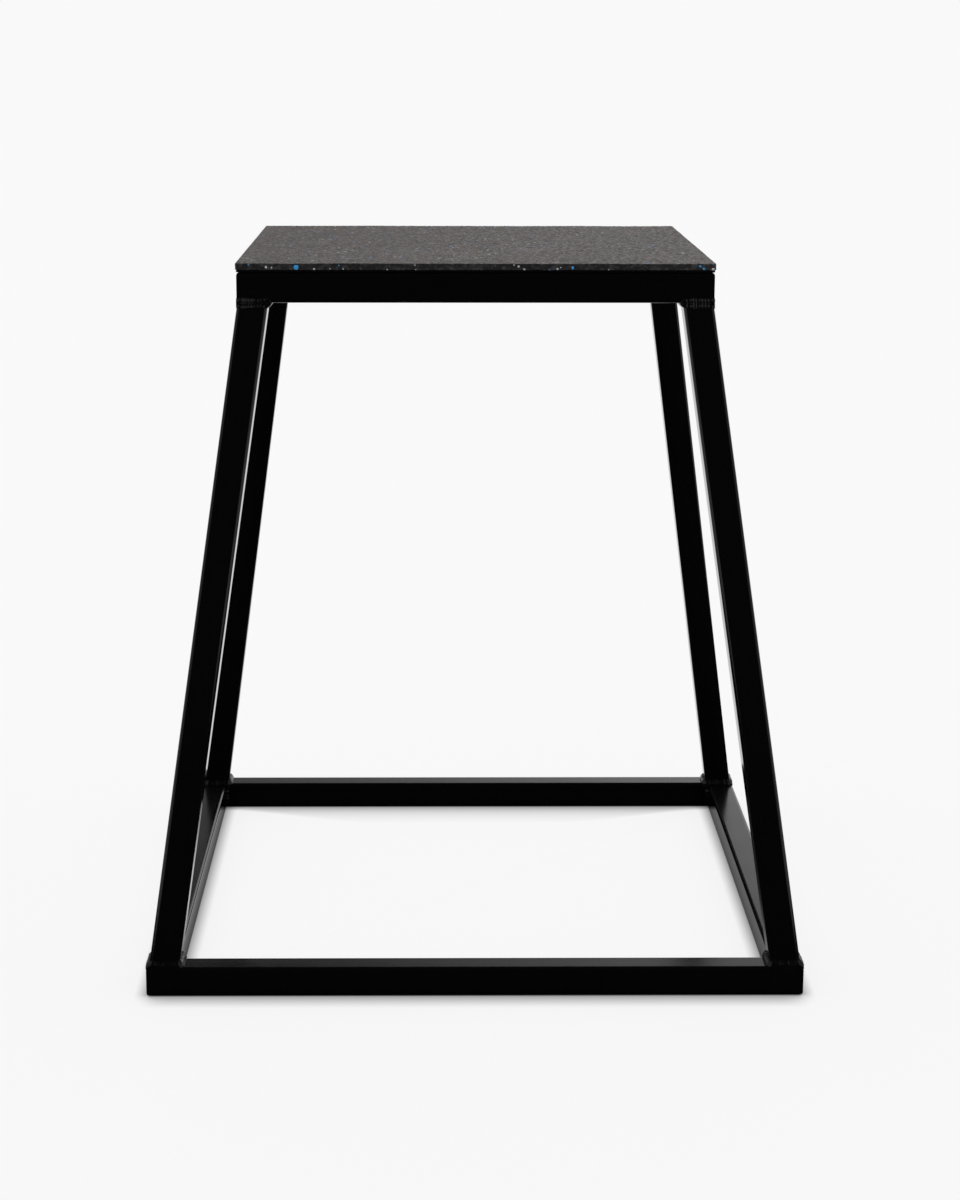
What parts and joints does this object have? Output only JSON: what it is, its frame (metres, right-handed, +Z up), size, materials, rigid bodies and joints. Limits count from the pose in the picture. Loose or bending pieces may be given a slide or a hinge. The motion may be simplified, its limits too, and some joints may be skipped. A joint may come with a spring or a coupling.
{
  "type": "plyo box",
  "caption": "Open steel plyo box: square tube base and top frames joined by splayed legs, with a flat deck and a flecked crumb-rubber mat for jump and step training.",
  "frame": {"origin": "centre of the base frame's footprint, on the floor", "axes": "+Z up, the front of the box faces -Y, +X to the right seen from the front"},
  "size_m": [0.5554, 0.5554, 0.6096],
  "materials": {
    "tube_coat": "satin black powder coat",
    "plate_coat": "satin black powder coat",
    "weld_coat": "powder coat over weld ripples",
    "mat_rubber": "matt crumb rubber with pale and blue flecks"
  },
  "bodies": {
    "root": {"base_front_rail": "tube_coat", "base_right_rail": "tube_coat", "base_rear_rail": "tube_coat", "base_left_rail": "tube_coat", "top_front_rail": "tube_coat", "top_right_rail": "tube_coat", "top_rear_rail": "tube_coat", "top_left_rail": "tube_coat", "front_right_leg": "tube_coat", "rear_right_leg": "tube_coat", "rear_left_leg": "tube_coat", "front_left_leg": "tube_coat", "deck_brace": "tube_coat", "deck_plate": "plate_coat", "top_mat": "mat_rubber", "leg_foot_welds": "weld_coat", "leg_head_welds": "weld_coat", "base_corner_welds": "weld_coat", "top_corner_welds": "weld_coat", "brace_welds": "weld_coat", "deck_stitch_welds": "weld_coat"}
  },
  "joints": []
}
